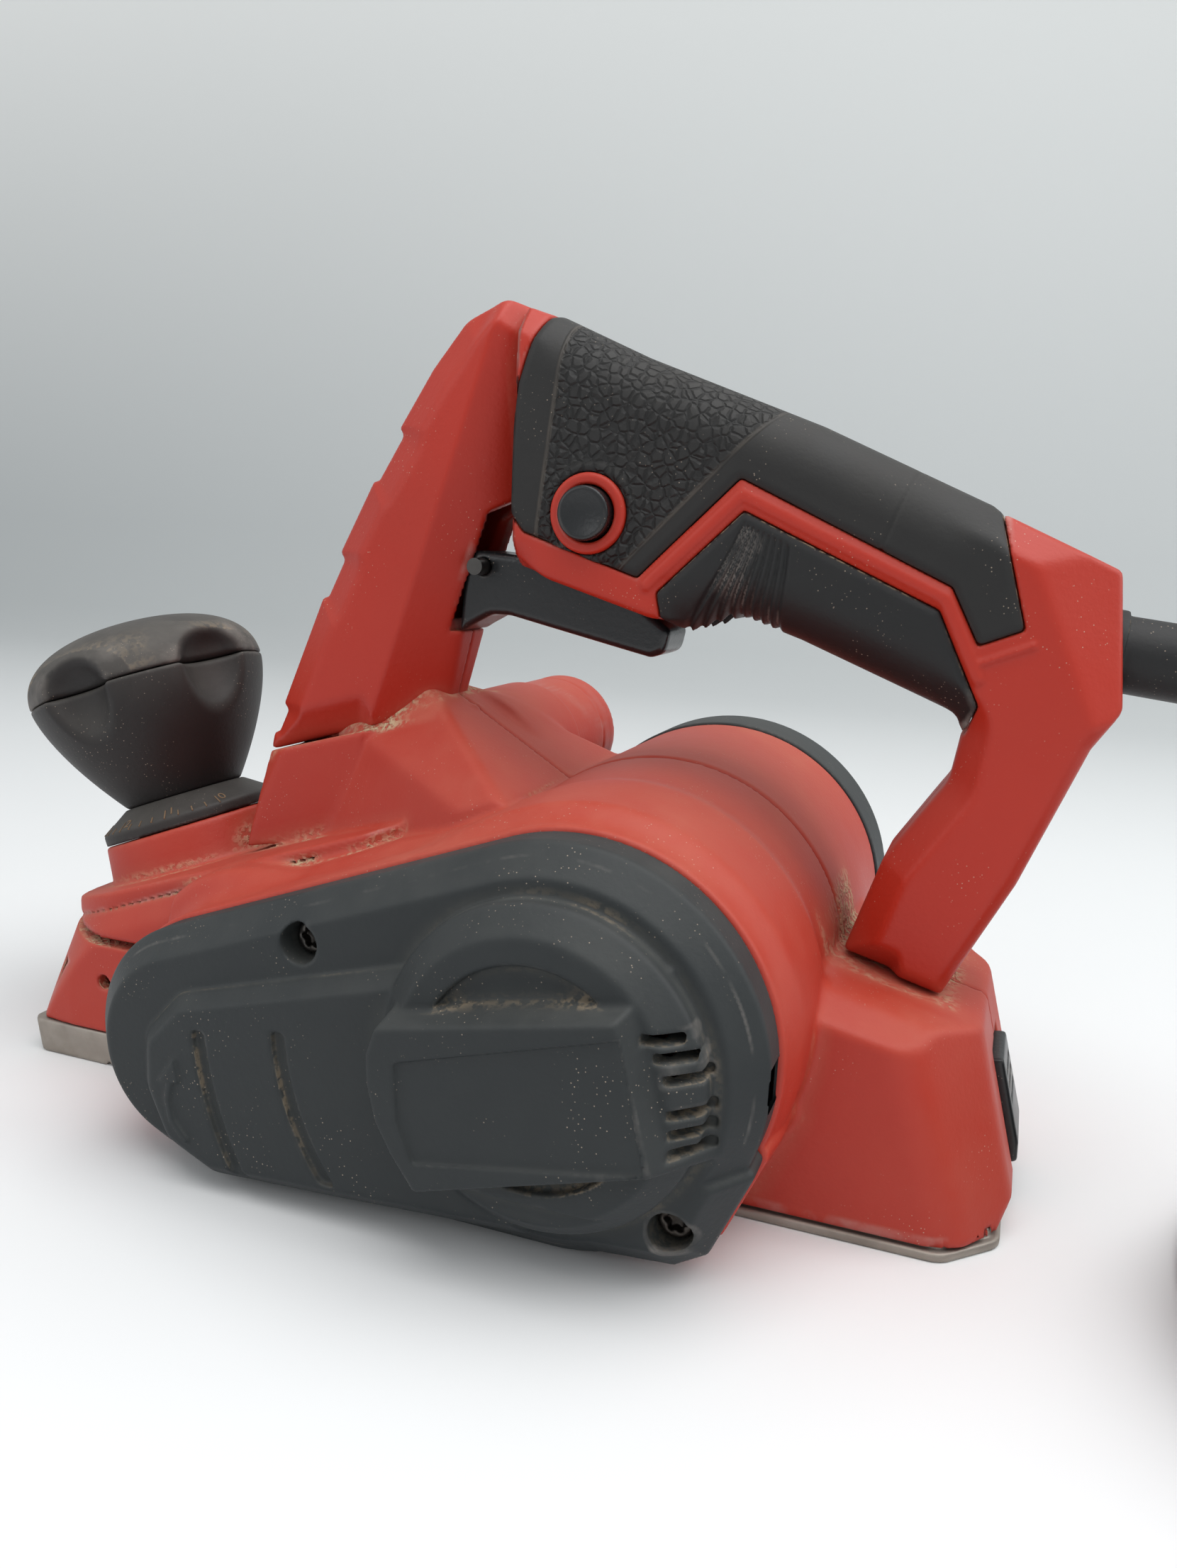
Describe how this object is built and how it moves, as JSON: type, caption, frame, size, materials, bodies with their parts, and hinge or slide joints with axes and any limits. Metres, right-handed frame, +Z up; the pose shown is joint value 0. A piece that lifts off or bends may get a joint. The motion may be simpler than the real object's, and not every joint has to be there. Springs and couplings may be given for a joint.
{
  "type": "electric hand planer",
  "caption": "Hand-held electric planer with closed rear handle, leaning front depth knob, side belt cover, round motor barrel, flat soles and a corded supply.",
  "frame": {"origin": "on the plane of the soles, half way across the planing width, directly under the motor axis, on the rear sole's face", "axes": "+X forward to the knob, +Y to the tool's left (belt side), +Z up; -Z is the rear sole's normal"},
  "size_m": [0.4193, 0.17, 0.194],
  "materials": {
    "red_plastic": "glass-filled nylon, lightly dusty satin",
    "grey_plastic": "dark slate grey, fine matt texture, scuffed",
    "black_plastic": "black, satin",
    "grip_rubber": "over-moulded soft grip, leather grain",
    "sole_metal": "ground and worn, fine lengthwise scratches",
    "steel": "bright zinc",
    "tool_steel": "ground",
    "drum_metal": "turned",
    "copper": "enamelled winding and segments",
    "lamination": "stacked sheet",
    "graphite": "pressed carbon",
    "belt_rubber": "toothed neoprene",
    "cord_rubber": "black sheath, satin",
    "fan_plastic": "moulded"
  },
  "bodies": {
    "root": {"housing_left": "red_plastic", "housing_right": "red_plastic", "housing_screws": "steel", "belt_cover": "grey_plastic", "cover_screws": "steel", "motor_end_cap": "grey_plastic", "chip_outlet": "red_plastic", "rear_sole": "sole_metal", "handle_left": "red_plastic", "handle_right": "red_plastic", "handle_screws": "steel", "grip_pad_upper_left": "grip_rubber", "grip_pad_upper_right": "grip_rubber", "grip_pad_lower_left": "grip_rubber", "grip_pad_lower_right": "grip_rubber", "switch_module": "black_plastic", "trigger_pin": "steel", "trigger_spring": "steel", "button_ring": "red_plastic", "stator": "lamination", "motor_bearings": "steel", "brush_holders": "copper", "carbon_brushes": "graphite", "drum_bearings": "steel", "drive_belt": "belt_rubber", "foot_pin": "steel", "shoe_spring": "steel", "cable_boot": "cord_rubber", "cord_tube": "cord_rubber", "cord_tail": "cord_rubber", "cord_coil": "cord_rubber", "cord_tie": "black_plastic", "plug": "cord_rubber", "plug_pins": "steel"},
    "knob": {"knob_body": "grip_rubber", "knob_cap": "grip_rubber", "depth_scale_ring": "black_plastic", "depth_spindle": "steel"},
    "shoe": {"front_shoe": "red_plastic", "front_sole": "sole_metal"},
    "drum": {"cutter_drum": "drum_metal", "planer_blades": "tool_steel", "blade_clamps": "steel", "blade_clamp_screws": "steel", "drum_pulley": "steel"},
    "rotor": {"motor_shaft": "steel", "armature": "lamination", "commutator": "copper", "cooling_fan": "fan_plastic", "motor_pulley": "steel"},
    "trigger": {"trigger": "black_plastic"},
    "button": {"lock_button": "black_plastic"},
    "foot": {"parking_foot": "black_plastic"}
  },
  "joints": [
    {"name": "trigger_hinge", "type": "hinge", "parent": "root", "child": "trigger", "pos_m": [0.047, 0, 0.134], "axis": [0, 1, 0], "range_deg": [0, 7], "stiffness_Nm_per_rad": 1, "springref_deg": -17.19},
    {"name": "lock_button_slide", "type": "slide", "parent": "root", "child": "button", "axis": [0, -1, 0], "range_m": [0, 0.004], "stiffness_N_per_m": 400, "springref_m": -0.004},
    {"name": "knob_turn", "type": "hinge", "parent": "root", "child": "knob", "pos_m": [0.155, 0, 0.0963], "axis": [0.3486, 0, 0.9373], "range_deg": [0, 315]},
    {"name": "shoe_slide", "type": "slide", "parent": "root", "child": "shoe", "axis": [0.3486, 0, 0.9373], "range_m": [0, 0.002]},
    {"name": "rotor_spin", "type": "hinge", "parent": "root", "child": "rotor", "pos_m": [0, 0, 0.045], "axis": [0, 1, 0], "continuous": true},
    {"name": "drum_spin", "type": "hinge", "parent": "root", "child": "drum", "pos_m": [0.088, 0, 0.028], "axis": [0, 1, 0], "continuous": true},
    {"name": "foot_hinge", "type": "hinge", "parent": "root", "child": "foot", "pos_m": [-0.0815, 0, 0.012], "axis": [0, -1, 0], "range_deg": [0, 150]}
  ],
  "couplings": [
    {"joint": "shoe_slide", "follows": "knob_turn", "m_per_rad": 0.00036375},
    {"joint": "drum_spin", "follows": "rotor_spin", "ratio": 0.625}
  ]
}
